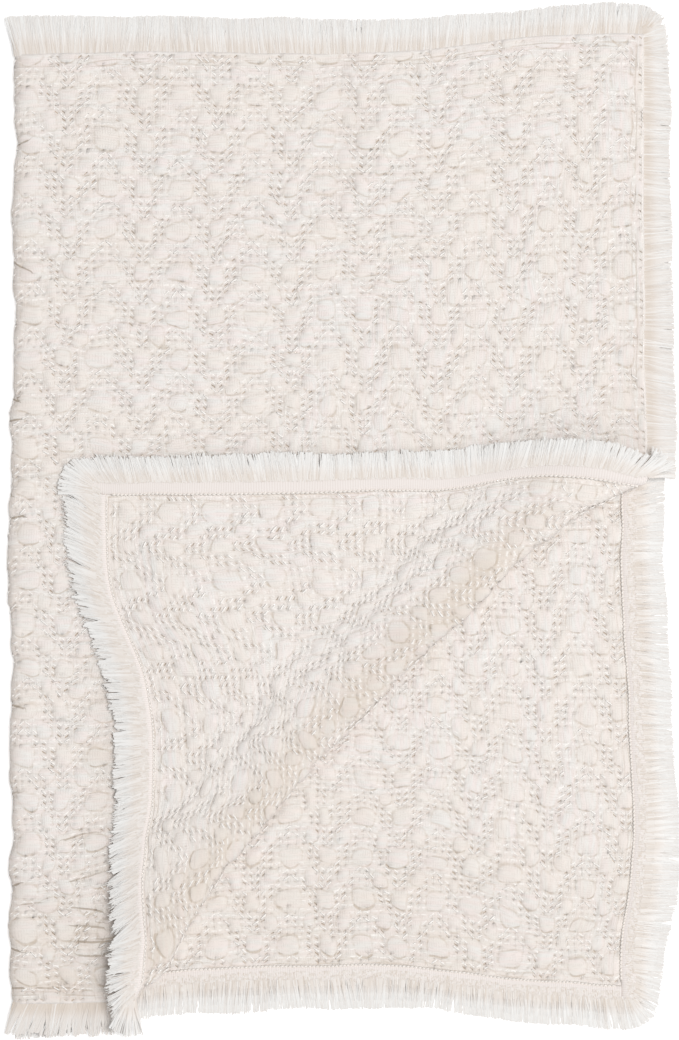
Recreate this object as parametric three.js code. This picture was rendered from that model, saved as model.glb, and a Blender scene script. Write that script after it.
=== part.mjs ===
// Cotton baby blanket, folded in half, with one corner turned back and a cut-thread fringe all round.
// Millimetres, +Z up. It lies on z = 0, its half fold on the left (-X) and its top edge at +Y.
import * as THREE from 'three';

// Cloth: u runs from the under layer's right edge round the half fold to the over layer's right edge,
// and v runs from the bottom edge to the top edge
const CLOTH_WIDTH = 850;
const CLOTH_LENGTH = 650;
const CLOTH_THICKNESS = 2.5;
const BOTTOM_EDGE_Y = -329;

// A fold turns through half an ellipse, then settles to its own height above the layer below
const HALF_FOLD = { reach: 6, rise: 3.5, settled: 7, settleLength: 10 };
const HALF_FOLD_X = -219;
const HALF_FOLD_START = 415;
const CORNER_FOLD = { reach: 22, rise: 8, settled: 7, settleLength: 70 };
const CORNER_FOLD_OFFSET = 178;
const FOLD_STEPS = 32;

// The turned corner's fold is drawn in between its ends
const BOW = { depth: 21, halfLength: 232, width: 72, power: 5 };
const BOW_MIDDLE = -72;

// Places where the cloth was pulled out of true: sheet place, how far round it, and the pull
const TUGS = [
  { name: 'half fold, lower', u: 423, v: 220, reachU: 150, reachV: 260, dx: -5, dy: 0, dz: 0 },
  { name: 'over top, left', u: 560, v: 650, reachU: 200, reachV: 200, dx: 0, dy: -3, dz: 0 },
  { name: 'over top, right', u: 850, v: 650, reachU: 100, reachV: 150, dx: 0, dy: 12, dz: 0 },
  { name: 'under top, right', u: 0, v: 650, reachU: 100, reachV: 150, dx: 0, dy: 5, dz: 0 },
  { name: 'under top, left', u: 240, v: 650, reachU: 165, reachV: 200, dx: 0, dy: -9, dz: 0 },
  { name: 'under right, middle', u: 0, v: 320, reachU: 150, reachV: 100, dx: -5, dy: 0, dz: 0 },
  { name: 'under right, low', u: 0, v: 130, reachU: 80, reachV: 60, dx: 2, dy: 0, dz: 0 },
  { name: 'under corner', u: 0, v: 0, reachU: 70, reachV: 60, dx: -6, dy: 8, dz: 0 },
  { name: 'under bottom', u: 215, v: 0, reachU: 145, reachV: 200, dx: 0, dy: 21, dz: 0 },
  { name: 'strip hem', u: 475, v: 0, reachU: 30, reachV: 50, dx: 0, dy: 0, dz: -1.2 },
  { name: 'flap left edge', u: 620, v: 0, reachU: 140, reachV: 110, dx: 15, dy: 2, dz: 0 },
  { name: 'flap corner', u: 850, v: 0, reachU: 112, reachV: 130, dx: -17, dy: -3, dz: 0 },
  { name: 'flap right end', u: 850, v: 345, reachU: 70, reachV: 60, dx: 3, dy: 2, dz: 0 },
];

// Mesh steps of the cloth
const STEP_FINE = 15;
const STEP_COARSE = 30;
const HALF_FOLD_SEGMENTS = 8;
const STEP_LEAST = 5;
const FINE_SHARE = 0.6;

// Fringe: a tape sewn to the inner side, with locks of cut thread on its outer edge
const TAPE_INSIDE = 4;
const TAPE_OUTSIDE = 5.5;
const TAPE_THICKNESS = 1;
const TAPE_GAP = 0.3;
const TIP_CLEAR = 15;
const LOCK_PITCH = 12;
const LOCK_SHARE = 0.66;
const LOCK_LENGTH = 17;
const LOCK_UNEVEN = 2;
const LOCK_THICKNESS = 1.2;
const LOCK_FAN = 0.8;
const LOCK_FAN_REACH = 30;
const LOCK_WAVE = 17;
const LOCK_LEVEL = 0.5;
const LOCK_SECTIONS = [
  { name: 'middle', along: 0.5, width: 0.9, thick: 1 },
  { name: 'tip', along: 1, width: 0.4, thick: 0.7 },
];

// Heights of the undersides of the locks: on the floor, on the under layer's fringe, on the over layer
const ON_FLOOR = 0;
const ON_UNDER = 2.8;
const ON_OVER = 10.6;

const COLOURS = { cloth: 0xe9e1dc, fringe: 0xeae4df };
const HALF_TURN = Math.PI;
const DIAGONAL = Math.SQRT1_2;
const PROBE = 0.2;
const UP = new THREE.Vector3(0, 0, 1);

// Distance back from a fold's outermost line and height above its start, for each run of cloth past it
function foldProfile({ reach, rise, settled, settleLength }) {
  const points = [];
  for (let i = 0; i <= FOLD_STEPS; i += 1) {
    const angle = HALF_TURN * (i / FOLD_STEPS - 0.5);
    points.push({ back: reach * (1 - Math.cos(angle)), up: rise * (1 + Math.sin(angle)), run: 0 });
  }
  for (let i = 1; i <= FOLD_STEPS; i += 1) {
    const part = i / FOLD_STEPS;
    const up = THREE.MathUtils.lerp(2 * rise, settled, THREE.MathUtils.smoothstep(part, 0, 1));
    points.push({ back: reach + settleLength * part, up, run: 0 });
  }
  for (let i = 1; i < points.length; i += 1) {
    const [before, here] = [points[i - 1], points[i]];
    here.run = before.run + Math.hypot(here.back - before.back, here.up - before.up);
  }
  return points;
}

function readProfile(profile, run) {
  const first = profile[0];
  const last = profile[profile.length - 1];
  if (run <= 0) return { back: first.back - run, up: first.up };
  if (run >= last.run) return { back: last.back + run - last.run, up: last.up };
  const i = profile.findIndex((point) => point.run > run);
  const part = (run - profile[i - 1].run) / (profile[i].run - profile[i - 1].run);
  return {
    back: THREE.MathUtils.lerp(profile[i - 1].back, profile[i].back, part),
    up: THREE.MathUtils.lerp(profile[i - 1].up, profile[i].up, part),
  };
}

const halfProfile = foldProfile(HALF_FOLD);
const cornerProfile = foldProfile(CORNER_FOLD);
const halfTurnRun = halfProfile[FOLD_STEPS].run;
const cornerTurnRun = cornerProfile[FOLD_STEPS].run;
const overStart = HALF_FOLD_START + halfTurnRun;
const overStartX = HALF_FOLD_X + HALF_FOLD.reach;

// The corner fold's outermost line, as x - y, and where it meets the bottom edge and the right edge
const tipLine = CORNER_FOLD_OFFSET + (cornerTurnRun / 2 - CORNER_FOLD.reach) / DIAGONAL;
const bottomTip = overStart + BOTTOM_EDGE_Y + tipLine - overStartX;
const rightTip = overStartX + CLOTH_WIDTH - overStart - tipLine - BOTTOM_EDGE_Y;

// Middle surface of the cloth at a sheet place, also a little past its edges
function middleSurface(u, v) {
  const half = readProfile(halfProfile, u - HALF_FOLD_START);
  const point = new THREE.Vector3(HALF_FOLD_X + half.back, BOTTOM_EDGE_Y + v, CLOTH_THICKNESS / 2 + half.up);
  if (u > overStart) turnCorner(point);
  for (const tug of TUGS) {
    const away = ((u - tug.u) / tug.reachU) ** 2 + ((v - tug.v) / tug.reachV) ** 2;
    const weight = Math.exp(-(away ** 2));
    point.x += tug.dx * weight;
    point.y += tug.dy * weight;
    point.z += tug.dz * weight;
  }
  return point;
}

// Turns a point of the over layer back across the diagonal, and draws the fold in at its middle
function turnCorner(point) {
  const across = (point.x - point.y - CORNER_FOLD_OFFSET) * DIAGONAL;
  const lengthwise = (point.x + point.y) * DIAGONAL - BOW_MIDDLE;
  const corner = readProfile(cornerProfile, across + CORNER_FOLD.reach);
  const bowShare = Math.max(0, 1 - Math.abs(lengthwise / BOW.halfLength) ** BOW.power);
  const drawn = BOW.depth * bowShare * Math.exp(-((across / BOW.width) ** 4));
  const shift = -corner.back - across - drawn;
  point.x += shift * DIAGONAL;
  point.y -= shift * DIAGONAL;
  point.z += corner.up;
}

// Unit normal on the outer side, which is up on the over layer and down on the under layer
function outerNormal(u, v) {
  const alongU = middleSurface(u + PROBE, v).sub(middleSurface(u - PROBE, v));
  const alongV = middleSurface(u, v + PROBE).sub(middleSurface(u, v - PROBE));
  return alongU.cross(alongV).normalize();
}

function clothPoint(u, v, height) {
  return middleSurface(u, v).addScaledVector(outerNormal(u, v), height);
}

function spread(from, to, step) {
  const count = Math.max(1, Math.round((to - from) / step));
  return Array.from({ length: count + 1 }, (_, i) => from + ((to - from) * i) / count);
}

// Stations across the cloth: rows of the over layer fall on the outermost line of the corner fold
function stationsU() {
  const under = spread(0, HALF_FOLD_START, STEP_COARSE);
  const turn = spread(HALF_FOLD_START, overStart, halfTurnRun / HALF_FOLD_SEGMENTS);
  const over = [];
  const first = overStart + ((bottomTip - overStart) % STEP_FINE);
  for (let u = first; u < CLOTH_WIDTH; u += STEP_FINE) {
    if (Math.min(u - overStart, CLOTH_WIDTH - u) > STEP_LEAST) over.push(u);
  }
  return [...under, ...turn.slice(1), ...over, CLOTH_WIDTH];
}

function stationsV() {
  const fine = spread(0, CLOTH_LENGTH * FINE_SHARE, STEP_FINE);
  const last = fine[fine.length - 1];
  return [...fine, ...spread(last, CLOTH_LENGTH, STEP_COARSE).slice(1)];
}

// Six times the volume inside a list of triangles, less than nothing where they face inwards
function signedVolume(points, index) {
  let sum = 0;
  for (let k = 0; k < index.length; k += 3) {
    const [a, b, c] = [points[index[k]], points[index[k + 1]], points[index[k + 2]]];
    sum += a.dot(b.clone().cross(c));
  }
  return sum;
}

// A closed mesh from points and quads, split from first corner to third, with its faces turned outwards
function solidFrom(name, points, quads, colour) {
  const positions = points.flatMap((point) => point.toArray());
  const index = [];
  for (const [a, b, c, d] of quads) index.push(a, b, c, a, c, d);
  if (signedVolume(points, index) < 0) index.reverse();
  const geometry = new THREE.BufferGeometry();
  geometry.setAttribute('position', new THREE.Float32BufferAttribute(positions, 3));
  geometry.setIndex(index);
  geometry.computeVertexNormals();
  const material = new THREE.MeshStandardMaterial({ color: colour, roughness: 0.9, metalness: 0 });
  const mesh = new THREE.Mesh(geometry, material);
  mesh.name = name;
  return mesh;
}

// The cloth: an outer and an inner face, joined round the rim
function makeCloth() {
  const us = stationsU();
  const vs = stationsV();
  const points = [];
  for (const side of [0.5, -0.5]) {
    for (const u of us) {
      for (const v of vs) points.push(clothPoint(u, v, side * CLOTH_THICKNESS));
    }
  }
  const rows = vs.length;
  const at = (i, j, side) => (side * us.length + i) * rows + j;
  const quads = [];
  for (let i = 0; i + 1 < us.length; i += 1) {
    for (let j = 0; j + 1 < rows; j += 1) {
      quads.push([at(i, j, 0), at(i + 1, j, 0), at(i + 1, j + 1, 0), at(i, j + 1, 0)]);
      quads.push([at(i + 1, j + 1, 1), at(i + 1, j, 1), at(i, j, 1), at(i, j + 1, 1)]);
    }
    quads.push([at(i, 0, 0), at(i, 0, 1), at(i + 1, 0, 1), at(i + 1, 0, 0)]);
    quads.push([at(i, rows - 1, 1), at(i, rows - 1, 0), at(i + 1, rows - 1, 0), at(i + 1, rows - 1, 1)]);
  }
  const end = us.length - 1;
  for (let j = 0; j + 1 < rows; j += 1) {
    quads.push([at(0, j, 1), at(0, j, 0), at(0, j + 1, 0), at(0, j + 1, 1)]);
    quads.push([at(end, j, 0), at(end, j, 1), at(end, j + 1, 1), at(end, j + 1, 0)]);
  }
  return solidFrom('cloth', points, quads, COLOURS.cloth);
}

// Cloth edges: the sheet place at a distance along the edge and a distance out past it
const EDGES = {
  underRight: (along, out) => [-out, along],
  overRight: (along, out) => [CLOTH_WIDTH + out, along],
  bottom: (along, out) => [along, -out],
  top: (along, out) => [along, CLOTH_LENGTH + out],
};

// Runs of fringe: edge, stretch, what its locks lie on, and how far its end locks fan outwards.
// At a cloth corner one tape runs past the edge and the next butts against it, and by the corner fold
// both tapes stop short of its outermost line.
const LOW = -TAPE_OUTSIDE;
const HIGH = CLOTH_LENGTH + TAPE_OUTSIDE;
const NEAR = TAPE_INSIDE + TAPE_GAP;
const FAR = CLOTH_WIDTH - NEAR;
const TURN = HALF_FOLD_START;
const [FOLD_IN, FOLD_OUT] = [bottomTip - TIP_CLEAR, bottomTip + TIP_CLEAR];
const [RIGHT_BELOW, RIGHT_ABOVE] = [rightTip - TIP_CLEAR, rightTip + TIP_CLEAR];
const RUNS = [
  { name: 'under_right', edge: 'underRight', from: LOW, to: HIGH, rest: ON_FLOOR, fans: [1, 1] },
  { name: 'under_top', edge: 'top', from: NEAR, to: TURN, rest: ON_FLOOR, fans: [1, 0.4] },
  { name: 'under_bottom', edge: 'bottom', from: NEAR, to: TURN, rest: ON_FLOOR, fans: [1, 0.4] },
  { name: 'over_top', edge: 'top', from: overStart, to: FAR, rest: ON_UNDER, fans: [0.4, 1] },
  { name: 'over_right', edge: 'overRight', from: RIGHT_ABOVE, to: HIGH, rest: ON_UNDER, fans: [0.5, 1] },
  { name: 'over_bottom', edge: 'bottom', from: overStart, to: FOLD_IN, rest: ON_UNDER, fans: [0.4, 0.5] },
  { name: 'flap_left', edge: 'bottom', from: FOLD_OUT, to: FAR, rest: ON_OVER, fans: [0.5, 1] },
  { name: 'flap_top', edge: 'overRight', from: LOW, to: RIGHT_BELOW, rest: ON_OVER, fans: [1, 0.5] },
];

// Section of the tape at a distance along its edge: inner and outer side, near the cloth and away from it
function tapeSection(place, along) {
  const near = -CLOTH_THICKNESS / 2 - TAPE_GAP;
  const far = near - TAPE_THICKNESS;
  const inner = place(along, -TAPE_INSIDE);
  const outer = place(along, TAPE_OUTSIDE);
  const corners = [[inner, near], [outer, near], [outer, far], [inner, far]];
  return corners.map(([at, height]) => clothPoint(...at, height));
}

// Level direction in which threads leave the edge, turned by an angle towards the run's end
function threadDirection(place, along, angle) {
  const here = middleSurface(...place(along, 0));
  const out = middleSurface(...place(along, PROBE)).sub(here).setZ(0).normalize();
  const onward = middleSurface(...place(along + PROBE, 0)).sub(here);
  const side = new THREE.Vector3(-out.y, out.x, 0);
  const sense = Math.sign(side.dot(onward)) || 1;
  return out.applyAxisAngle(UP, angle * sense);
}

// One lock, drawn out of the tape's outer face through its sections
function drawLock(points, quads, root, direction, length, rest) {
  const corners = root.map((index) => points[index]);
  const middle = corners.reduce((sum, point) => sum.clone().add(point), new THREE.Vector3()).divideScalar(4);
  const across = corners[3].clone().sub(corners[0]).setZ(0);
  const width = across.length();
  const side = new THREE.Vector3(-direction.y, direction.x, 0);
  side.multiplyScalar(Math.sign(side.dot(across)) || 1);
  const nearUp = Math.sign(corners[0].z - corners[1].z) || 1;
  let ring = root;
  for (const section of LOCK_SECTIONS) {
    const half = (LOCK_THICKNESS * section.thick) / 2;
    const centre = middle.clone().addScaledVector(direction, length * section.along);
    centre.z = rest + half;
    const reach = (width * section.width) / 2;
    const next = [[-1, 1], [-1, -1], [1, -1], [1, 1]].map(([sideways, nearer]) => {
      const corner = centre.clone().addScaledVector(side, sideways * reach);
      corner.z += nearer * nearUp * half;
      return points.push(corner) - 1;
    });
    for (let k = 0; k < 4; k += 1) {
      const after = (k + 1) % 4;
      quads.push([ring[k], ring[after], next[after], next[k]]);
    }
    ring = next;
  }
  quads.push(ring);
}

// One run of fringe: the tape, and a lock at each pitch along it
function makeFringe({ name, edge, from, to, rest, fans }) {
  const place = EDGES[edge];
  const count = Math.round((to - from) / LOCK_PITCH);
  const pitch = (to - from) / count;
  const stations = [from];
  for (let i = 0; i < count; i += 1) {
    const middle = from + pitch * (i + 0.5);
    stations.push(middle - (pitch * LOCK_SHARE) / 2, middle + (pitch * LOCK_SHARE) / 2);
  }
  stations.push(to);
  const points = stations.flatMap((along) => tapeSection(place, along));
  const at = (station, corner) => station * 4 + corner;
  const last = stations.length - 1;
  const corners = [0, 1, 2, 3];
  const quads = [corners.map((c) => at(0, 3 - c)), corners.map((c) => at(last, c))];
  for (let k = 0; k < last; k += 1) {
    const along = (stations[k] + stations[k + 1]) / 2;
    const level = Math.abs(outerNormal(...place(along, 0)).z) > LOCK_LEVEL;
    const hasLock = k % 2 === 1 && level;
    for (const c of corners) {
      const after = (c + 1) % 4;
      if (c !== 1 || !hasLock) quads.push([at(k, c), at(k, after), at(k + 1, after), at(k + 1, c)]);
    }
    if (!hasLock) continue;
    const fanIn = fans[0] * Math.max(0, 1 - (along - from) / LOCK_FAN_REACH);
    const fanOut = fans[1] * Math.max(0, 1 - (to - along) / LOCK_FAN_REACH);
    const direction = threadDirection(place, along, LOCK_FAN * (fanOut - fanIn));
    const length = LOCK_LENGTH + LOCK_UNEVEN * Math.sin(along / LOCK_WAVE);
    drawLock(points, quads, [at(k, 1), at(k, 2), at(k + 1, 2), at(k + 1, 1)], direction, length, rest);
  }
  return solidFrom(`fringe_${name}`, points, quads, COLOURS.fringe);
}

const blanket = new THREE.Group();
blanket.add(makeCloth(), ...RUNS.map(makeFringe));

// The origin is on the surface it lies on, under the middle of its box
const box = new THREE.Box3().setFromObject(blanket);
const middle = box.getCenter(new THREE.Vector3());
blanket.position.set(-middle.x, -middle.y, -box.min.z);

export default blanket;
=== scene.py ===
import math

import bpy
import numpy as np
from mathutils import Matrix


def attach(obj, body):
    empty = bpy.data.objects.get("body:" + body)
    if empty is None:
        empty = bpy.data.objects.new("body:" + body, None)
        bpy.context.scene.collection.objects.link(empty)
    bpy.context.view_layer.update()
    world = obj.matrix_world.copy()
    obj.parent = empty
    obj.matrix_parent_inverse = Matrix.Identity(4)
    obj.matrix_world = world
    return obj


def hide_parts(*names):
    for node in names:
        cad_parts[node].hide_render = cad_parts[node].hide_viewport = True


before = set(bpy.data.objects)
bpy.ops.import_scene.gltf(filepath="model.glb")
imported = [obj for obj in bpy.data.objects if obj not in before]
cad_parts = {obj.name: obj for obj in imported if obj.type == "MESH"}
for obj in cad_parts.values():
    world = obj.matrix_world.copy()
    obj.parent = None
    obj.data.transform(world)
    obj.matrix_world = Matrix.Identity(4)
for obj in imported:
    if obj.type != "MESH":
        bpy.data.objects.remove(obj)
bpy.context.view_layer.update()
bpy.ops.object.select_all(action="DESELECT")


# CLOTH
# One piece of cream crinkle cotton, hemmed on all four edges, folded in half and laid flat with one
# corner of its upper layer turned back. The weave is a zigzag of pulled-open gaps between soft puffs.
MM = 0.001
CLOTH_WIDTH = 850.0
CLOTH_LENGTH = 650.0
CLOTH_THICKNESS = 2.5
BOTTOM_EDGE_Y = -329.0
FRAME_SHIFT = (-3.355, -0.714)

HALF_FOLD = {"reach": 6.0, "rise": 3.5, "settled": 7.0, "settle_length": 10.0}
HALF_FOLD_X = -219.0
HALF_FOLD_START = 415.0
CORNER_FOLD = {"reach": 22.0, "rise": 8.0, "settled": 7.0, "settle_length": 70.0}
CORNER_FOLD_OFFSET = 178.0
BOW = {"depth": 21.0, "half_length": 232.0, "width": 72.0, "power": 5}
BOW_MIDDLE = -72.0
FLAP_SAG = 3.2
FLAP_SAG_WIDTH = 30.0
FLAP_SAG_GROWS = (20.0, 60.0)
FOLD_STEPS = 240
DIAGONAL = math.sqrt(0.5)
PROBE = 0.2

# How far the cloth strays from true: less by its edges, in bumps of two sizes, and also along the half
# fold, whose outermost line is a little past the start of its turn
EDGE_STRAY = 0.5
INNER_STRAY = 1.5
EDGE_STRAY_WIDTH = 25.0
WIDE_STRAY = 1.0
SMALL_BUMP = 19.0
WIDE_BUMP = 60.0
FOLD_LINE = 8.0
FOLD_STRAY_WIDTH = 40.0
RUMPLE_GROWS = 60.0

# Places where the cloth was pulled out of true: name, sheet place, how far round it, and the pull in
# x, y and z
TUGS = [
    ("half fold, lower", 423, 220, 150, 280, -4.3, 0, 0),
    ("half fold, upper", 423, 590, 60, 45, -2.0, 0, 0),
    ("over top, left", 560, 650, 200, 200, 0, -3, 0),
    ("over top, right", 850, 650, 120, 150, 0, 9, 0),
    ("under top, right", 0, 650, 100, 150, 0, 5, 0),
    ("under top, left", 240, 650, 165, 200, 0, -9, 0),
    ("under right, middle", 0, 320, 150, 100, -5, 0, 0),
    ("under right, low", 0, 130, 80, 60, 2, 0, 0),
    ("under corner", 0, 0, 70, 60, -6, 8, 0),
    ("under bottom", 215, 0, 145, 200, 0, 21, 0),
    ("strip hem", 475, 0, 30, 50, 0, 0, -1.2),
    ("flap left edge", 620, 0, 140, 110, 15, 2, 0),
    ("flap corner", 850, 0, 112, 130, -17, -3, 0),
    ("flap right end", 850, 345, 70, 60, 3, 2, 0),
]

# Soft troughs pressed or pinched into the cloth: from and to on the sheet, half width and depth
TROUGHS = [
    ("over layer, top", 644, 648, 641, 508, 8, 1.1),
    ("right hem, top", 846, 596, 832, 592, 4, 0.9),
    ("right hem, middle", 846, 455, 836, 460, 4, 0.8),
    ("right hem, low", 846, 397, 836, 396, 4, 0.8),
    ("half fold, a", 422, 10, 432, 11, 3.0, 1.3),
    ("half fold, b", 420, 40, 430, 37, 3.0, 1.4),
    ("half fold, c", 419, 79, 430, 83, 3.0, 1.4),
    ("half fold, d", 420, 143, 430, 146, 3.0, 1.0),
    ("half fold, e", 420, 205, 432, 200, 3.0, 1.2),
    ("half fold, f", 420, 268, 430, 270, 3.0, 1.0),
    ("half fold, g", 422, 331, 432, 332, 3.0, 1.3),
    ("half fold, h", 421, 348, 426, 345, 2.5, 1.2),
    ("half fold, i", 422, 396, 431, 399, 3.0, 1.3),
    ("half fold, j", 422, 411, 428, 415, 2.5, 1.2),
    ("half fold, k", 422, 414, 428, 411, 2.5, 1.2),
    ("half fold, l", 422, 506, 434, 499, 3.0, 1.2),
    ("half fold, m", 421, 588, 432, 592, 3.5, 1.1),
    ("strip, a", 484, 61, 462, 65, 2.2, 1.0),
    ("strip, b", 484, 51, 464, 52, 2.2, 0.9),
    ("strip, c", 487, 42, 466, 43, 2.0, 1.0),
    ("strip, d", 440, 11, 464, 10, 2.2, 1.0),
    ("strip, e", 486, 86, 464, 83, 2.2, 0.9),
    ("strip, f", 486, 116, 460, 112, 2.4, 0.9),
    ("strip, g", 484, 33, 466, 34, 2.0, 1.0),
    ("strip, h", 430, 68, 443, 70, 2.0, 0.9),
]


def fold_profile(reach, rise, settled, settle_length):
    """Distance back from a fold's outermost line, height, and run of cloth from its turn's start."""
    angle = np.linspace(-math.pi / 2, math.pi / 2, FOLD_STEPS + 1)
    part = np.linspace(0, 1, FOLD_STEPS + 1)[1:]
    ease = part * part * (3 - 2 * part)
    back = np.concatenate([reach * (1 - np.cos(angle)), reach + settle_length * part])
    up = np.concatenate([rise * (1 + np.sin(angle)), 2 * rise + (settled - 2 * rise) * ease])
    run = np.concatenate([[0.0], np.cumsum(np.hypot(np.diff(back), np.diff(up)))])
    return back, up, run


def read_profile(profile, run):
    """Distance back and height of a fold at runs of cloth, which go on level past both its ends."""
    back, up, runs = profile
    past = np.maximum(run - runs[-1], 0) + np.maximum(-run, 0)
    return np.interp(run, runs, back) + past, np.interp(run, runs, up)


half_profile = fold_profile(**HALF_FOLD)
corner_profile = fold_profile(**CORNER_FOLD)
half_turn_run = half_profile[2][FOLD_STEPS]
corner_turn_run = corner_profile[2][FOLD_STEPS]
over_start = HALF_FOLD_START + half_turn_run
over_start_x = HALF_FOLD_X + HALF_FOLD["reach"]
tip_line = CORNER_FOLD_OFFSET + (corner_turn_run / 2 - CORNER_FOLD["reach"]) / DIAGONAL
bottom_tip = over_start + BOTTOM_EDGE_Y + tip_line - over_start_x
right_tip = over_start_x + CLOTH_WIDTH - over_start - tip_line - BOTTOM_EDGE_Y


def ease_in(value, start, end):
    part = np.clip((value - start) / (end - start), 0, 1)
    return part * part * (3 - 2 * part)


def soft_noise(u, v, size, seed):
    """Smooth unevenness from -1 to 1 over the sheet, with bumps about size millimetres apart."""
    heights = np.random.default_rng(seed).uniform(-1, 1, (97, 97))
    a, b = u / size + 40, v / size + 40
    i, j = np.floor(a).astype(int), np.floor(b).astype(int)
    s, t = ease_in(a - i, 0, 1), ease_in(b - j, 0, 1)
    i, j = i % 96, j % 96
    low = heights[i, j] * (1 - s) + heights[i + 1, j] * s
    high = heights[i, j + 1] * (1 - s) + heights[i + 1, j + 1] * s
    return low * (1 - t) + high * t


def edge_distance(u, v):
    return np.minimum(np.minimum(u, CLOTH_WIDTH - u), np.minimum(v, CLOTH_LENGTH - v))


def past_corner_fold(u, v):
    """Distance of the over layer past the corner's fold line, measured before the corner is turned."""
    x = over_start_x + u - over_start
    y = BOTTOM_EDGE_Y + v
    return (x - y - CORNER_FOLD_OFFSET) * DIAGONAL


def rumple(u, v):
    """Rise and fall of the over layer where it does not lie quite flat."""
    return 0.6 * soft_noise(u, v, 21, 5) + 0.6 * soft_noise(u, v, 64, 6)


def middle_surface(u, v):
    """Places on the cloth's middle surface, in millimetres, for places on the flat sheet."""
    back, up = read_profile(half_profile, u - HALF_FOLD_START)
    x = HALF_FOLD_X + back
    y = BOTTOM_EDGE_Y + v
    z = CLOTH_THICKNESS / 2 + up
    across = (x - y - CORNER_FOLD_OFFSET) * DIAGONAL
    lengthwise = (x + y) * DIAGONAL - BOW_MIDDLE
    turn_back, turn_up = read_profile(corner_profile, across + CORNER_FOLD["reach"])
    bow_share = np.maximum(0, 1 - np.abs(lengthwise / BOW["half_length"]) ** BOW["power"])
    drawn = BOW["depth"] * bow_share * np.exp(-((across / BOW["width"]) ** 4))
    over = u > over_start
    shift = np.where(over, -turn_back - across - drawn, 0)
    x = x + shift * DIAGONAL
    y = y - shift * DIAGONAL
    z = z + np.where(over, turn_up, 0)
    sag = FLAP_SAG * np.exp(-((edge_distance(u, v) / FLAP_SAG_WIDTH) ** 2))
    z = z - np.where(over, sag * ease_in(across, *FLAP_SAG_GROWS), 0)
    for _, at_u, at_v, reach_u, reach_v, dx, dy, dz in TUGS:
        weight = np.exp(-((((u - at_u) / reach_u) ** 2 + ((v - at_v) / reach_v) ** 2) ** 2))
        x, y, z = x + dx * weight, y + dy * weight, z + dz * weight
    loose = EDGE_STRAY + INNER_STRAY * ease_in(edge_distance(u, v), 0, EDGE_STRAY_WIDTH)
    x = x + loose * soft_noise(u, v, SMALL_BUMP, 1) + WIDE_STRAY * soft_noise(u, v, WIDE_BUMP, 2)
    y = y + loose * soft_noise(u, v, SMALL_BUMP, 3) + WIDE_STRAY * soft_noise(u, v, WIDE_BUMP, 4)
    at_half_fold = np.exp(-(((u - HALF_FOLD_START - FOLD_LINE) / FOLD_STRAY_WIDTH) ** 2))
    x = x + at_half_fold * (0.9 * soft_noise(0 * u, v, 34, 7) + 0.6 * soft_noise(0 * u, v, 11, 8))
    lift = ease_in(u, HALF_FOLD_START + FOLD_LINE, HALF_FOLD_START + RUMPLE_GROWS)
    z = z + lift * rumple(u, v)
    return np.stack([x + FRAME_SHIFT[0], y + FRAME_SHIFT[1], z], axis=-1)


def outer_normal(u, v):
    """Unit normals on the outer side, which is up on the over layer and down on the under layer."""
    along_u = middle_surface(u + PROBE, v) - middle_surface(u - PROBE, v)
    along_v = middle_surface(u, v + PROBE) - middle_surface(u, v - PROBE)
    normal = np.cross(along_u, along_v)
    return normal / np.linalg.norm(normal, axis=-1, keepdims=True)


def cloth_point(u, v, height):
    """Places at a height over the middle surface, on its outer side."""
    return middle_surface(u, v) + outer_normal(u, v) * np.asarray(height)[..., None]


# The weave's repeat, ten gaps across and six down: how open each gap is, from 0, closed, to 1. The open
# gaps make a steep zigzag, taller than the repeat, so that its arms pass one another at the sides
CELL = 5.0
GAP = 1.5
REPEAT_COLUMNS = 10
REPEAT_ROWS = 6
WEAVE = np.array([
    [0.3, 0.8, 0.9, 0.0, 0.6, 0.6, 0.0, 0.9, 0.8, 0.3],
    [0.0, 0.3, 1.0, 0.7, 0.0, 0.0, 0.7, 1.0, 0.3, 0.0],
    [0.0, 0.0, 0.9, 1.0, 0.0, 0.0, 1.0, 0.9, 0.0, 0.0],
    [0.3, 0.0, 0.4, 1.0, 0.3, 0.3, 1.0, 0.4, 0.0, 0.3],
    [0.6, 0.2, 0.0, 0.9, 0.9, 0.9, 0.9, 0.0, 0.2, 0.6],
    [0.5, 0.7, 0.0, 0.3, 1.0, 1.0, 0.3, 0.0, 0.7, 0.5],
])
COLUMN_START = 3

# The repeat's puffs: name, column and row of the middle, half width in columns and half length in rows
PUFFS = [
    ("inside the zigzag", 5.0, 2.1, 1.15, 1.3),
    ("between two zigzags", 10.0, 2.2, 1.5, 1.35),
    ("right of the point", 7.25, 5.25, 1.0, 1.15),
    ("left of the point", 2.75, 4.95, 1.0, 1.15),
]

# Heights over the cloth's middle surface and widths of its hem, in millimetres
FACE_HEIGHT = 0.9
FACE_STRAY = 0.1
PUFF_HEIGHT = 1.05
VALLEY = 0.4
RIM_HEIGHT = 0.3
RIM_CURVE = (-0.5, 3.5)
HEM_RIDGE = 0.2
RIDGE_FROM_EDGE = 1.5
RIDGE_WIDTH = 1.4
SEAM_GROOVE = 0.35
SEAM_FROM_EDGE = 3.4
SEAM_WIDTH = 1.2
OUTER_HEM = 1.6
INNER_HEM = 5.2
HEM_BLEND = (-1.5, 2.5)

# Sizes of the gaps: a slanted dash each, longer and lower than its cell's share, sunk as a pit
LEAST_GAP = 0.25
GAP_SLANT = 0.75
GAP_SMALLEST = 0.38
GAP_GROWTH = 0.56
GAP_LONGER = 1.55
GAP_LOWER = 0.6
PIT_DEPTH = 1.1
PIT_INSET = 0.15

# As far past the half fold's start as this, the outer face rises no higher than half the cloth's
# thickness, because it lies on the floor there
FLOOR_FACE_END = 9.0

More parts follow.
